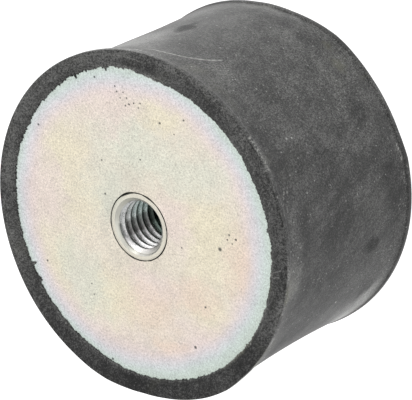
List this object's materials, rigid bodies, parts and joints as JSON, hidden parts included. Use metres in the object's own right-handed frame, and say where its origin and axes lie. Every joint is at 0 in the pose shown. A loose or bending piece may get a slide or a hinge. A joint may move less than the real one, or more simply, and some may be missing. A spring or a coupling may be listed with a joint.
{
  "type": "silent block",
  "caption": "Round waisted rubber vibration mount with a bonded zinc plated steel plate and a threaded insert in the middle of each end.",
  "frame": {"origin": "middle of the lower end, on the plane of the lower rubber rim that the block stands on", "axes": "+Z along the block's axis, out of the upper threaded insert; X and Y are any pair across it"},
  "size_m": [0.05, 0.05, 0.0308],
  "materials": {
    "rubber": "matt, slightly dusty black rubber",
    "zinc_plate": "satin zinc plating with a pale iridescent passivation",
    "insert_steel": "zinc plated turned steel"
  },
  "bodies": {
    "root": {"rubber_body": "rubber", "upper_plate": "zinc_plate", "lower_plate": "zinc_plate", "upper_insert": "insert_steel", "lower_insert": "insert_steel"}
  },
  "joints": []
}
